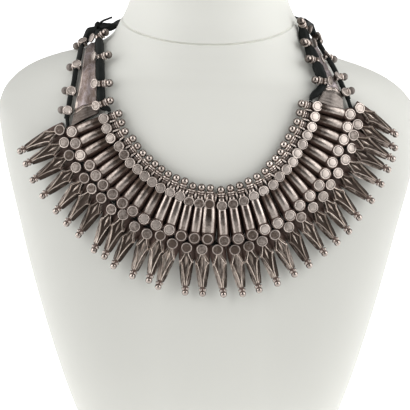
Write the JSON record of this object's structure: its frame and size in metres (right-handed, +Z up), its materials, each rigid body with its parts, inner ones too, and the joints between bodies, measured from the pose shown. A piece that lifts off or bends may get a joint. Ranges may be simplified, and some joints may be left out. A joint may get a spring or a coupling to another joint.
{
  "type": "silver choker on a neck bust",
  "caption": "Fan of arched silver bars and hanging silver spears strung on black cords, worn round the neck of a plain armless display bust.",
  "frame": {"origin": "the middle of the bust's flat base, on the surface that it stands on", "axes": "+Z up along the neck, -Y out of the chest toward the viewer, +X to the right of a front view"},
  "size_m": [0.2486, 0.131, 0.3],
  "materials": {
    "silver": "worn tarnished silver, bright on the high spots",
    "leaf": "satin tarnished silver sheet",
    "cord": "matt black cotton cord",
    "bust": "matt pale grey"
  },
  "bodies": {
    "root": {"neck_bust": "bust", "bars_01": "silver", "bars_02": "silver", "bars_03": "silver", "bars_04": "silver", "bars_05": "silver", "bars_06": "silver", "bars_07": "silver", "bars_08": "silver", "bars_09": "silver", "bars_10": "silver", "spear_01": "silver", "spear_02": "silver", "spear_03": "silver", "spear_04": "silver", "spear_05": "silver", "spear_06": "silver", "spear_07": "silver", "spear_08": "silver", "spear_09": "silver", "spear_10": "silver", "spear_11": "silver", "spear_12": "silver", "spear_13": "silver", "spear_14": "silver", "spear_15": "silver", "spear_16": "silver", "spear_17": "silver", "spear_18": "silver", "spear_19": "silver", "spear_20": "silver", "spear_21": "silver", "spear_22": "silver", "spear_23": "silver", "spear_24": "silver", "spear_25": "silver", "spear_26": "silver", "spear_27": "silver", "spear_28": "silver", "spear_29": "silver", "spear_30": "silver", "spear_31": "silver", "inner_strand_left": "cord", "outer_strand_left": "cord", "inner_strand_right": "cord", "outer_strand_right": "cord", "terminal_left": "leaf", "terminal_right": "leaf", "nape_cord": "cord", "tie_knot": "cord"}
  },
  "joints": []
}
